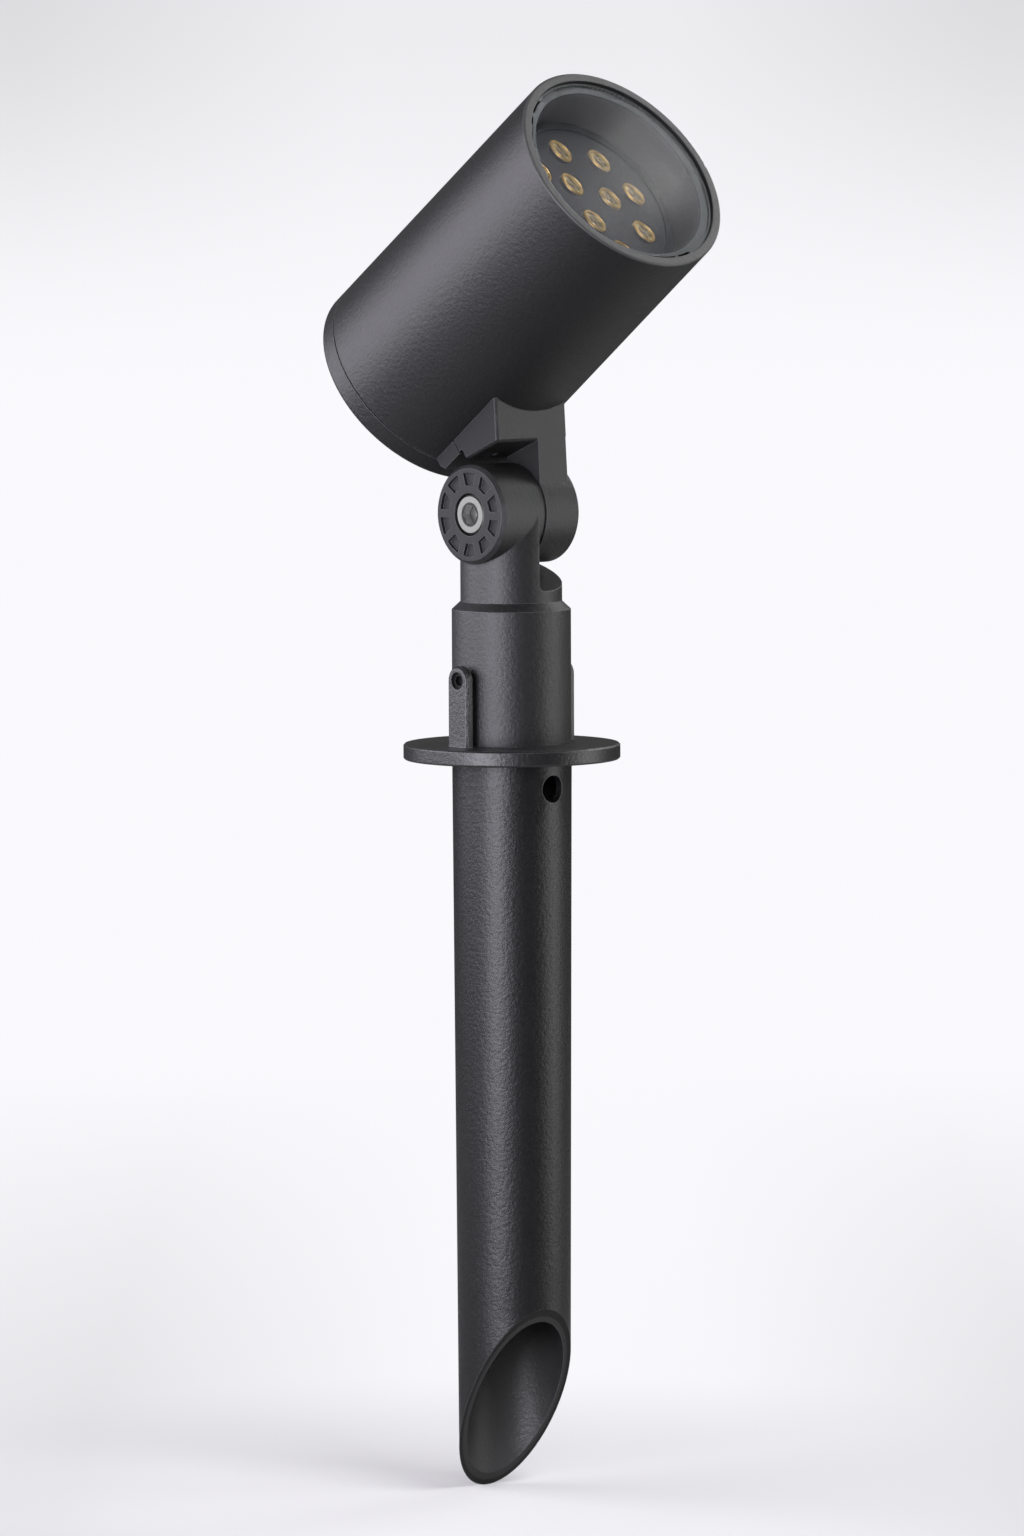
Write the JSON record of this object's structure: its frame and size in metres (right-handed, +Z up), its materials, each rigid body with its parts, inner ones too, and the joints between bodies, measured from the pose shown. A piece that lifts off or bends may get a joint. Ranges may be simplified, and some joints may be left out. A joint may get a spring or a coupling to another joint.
{
  "type": "landscape spotlight",
  "caption": "Round garden spot light with a recessed glass on a tilting knuckle and turning stem, carried by a flanged hollow ground spike with a slanted tip.",
  "frame": {"origin": "centre of the ground flange's underside, on the axis of the spike and stem, at ground level", "axes": "+Z up along the stem, +X the level direction that the head aims in, Y along the tilt axis with the pivot bolt's head towards -Y"},
  "size_m": [0.1378, 0.0764, 0.4569],
  "materials": {
    "powder_coat": "fine-textured anthracite powder coat",
    "bolt_steel": "plain stainless steel",
    "black_steel": "black oxide",
    "zinc_steel": "zinc plated",
    "standoff_brass": "plain brass",
    "friction_plastic": "natural bearing plastic",
    "seal_rubber": "grey silicone rubber",
    "clear_glass": "clear tempered glass",
    "dark_plate": "semi-gloss dark grey",
    "amber_lens": "clear amber moulded lens",
    "metal_core": "metal core board with pale mask",
    "phosphor": "yellow emitter",
    "circuit_board": "green circuit board",
    "ferrite": "sleeved ferrite coil",
    "capacitor_sleeve": "sleeved capacitor",
    "terminal_plastic": "grey terminal block",
    "wire_insulation": "insulated wire"
  },
  "bodies": {
    "spike": {"spike_tube": "powder_coat", "ground_flange": "powder_coat", "ear_screws": "black_steel"},
    "stem": {"stem_post": "powder_coat", "stem_ring": "zinc_steel", "pivot_bolt": "bolt_steel", "friction_washer": "friction_plastic"},
    "head": {"bracket": "powder_coat", "saddle_key": "powder_coat", "head_housing": "powder_coat", "rear_cap": "powder_coat", "rear_cap_screws": "black_steel", "pivot_washer": "zinc_steel", "pivot_nut": "zinc_steel", "bracket_screws": "zinc_steel", "board_screws": "zinc_steel", "driver_screws": "zinc_steel", "driver_standoffs": "standoff_brass", "glass_seal": "seal_rubber", "rear_cap_seal": "seal_rubber", "lead_grommet": "seal_rubber", "front_glass": "clear_glass", "lens_plate": "dark_plate", "led_lenses": "amber_lens", "led_board": "metal_core", "led_chips": "phosphor", "driver_board": "circuit_board", "driver_coil": "ferrite", "driver_capacitor": "capacitor_sleeve", "driver_terminal": "terminal_plastic", "led_leads": "wire_insulation"}
  },
  "joints": [
    {"name": "stem_pan", "type": "hinge", "parent": "spike", "child": "stem", "pos_m": [0, 0, 0], "axis": [0, 0, 1], "range_deg": [-170, 170]},
    {"name": "head_tilt", "type": "hinge", "parent": "stem", "child": "head", "pos_m": [0, 0, 0.079], "axis": [0, 1, 0], "range_deg": [-53, 80]}
  ]
}
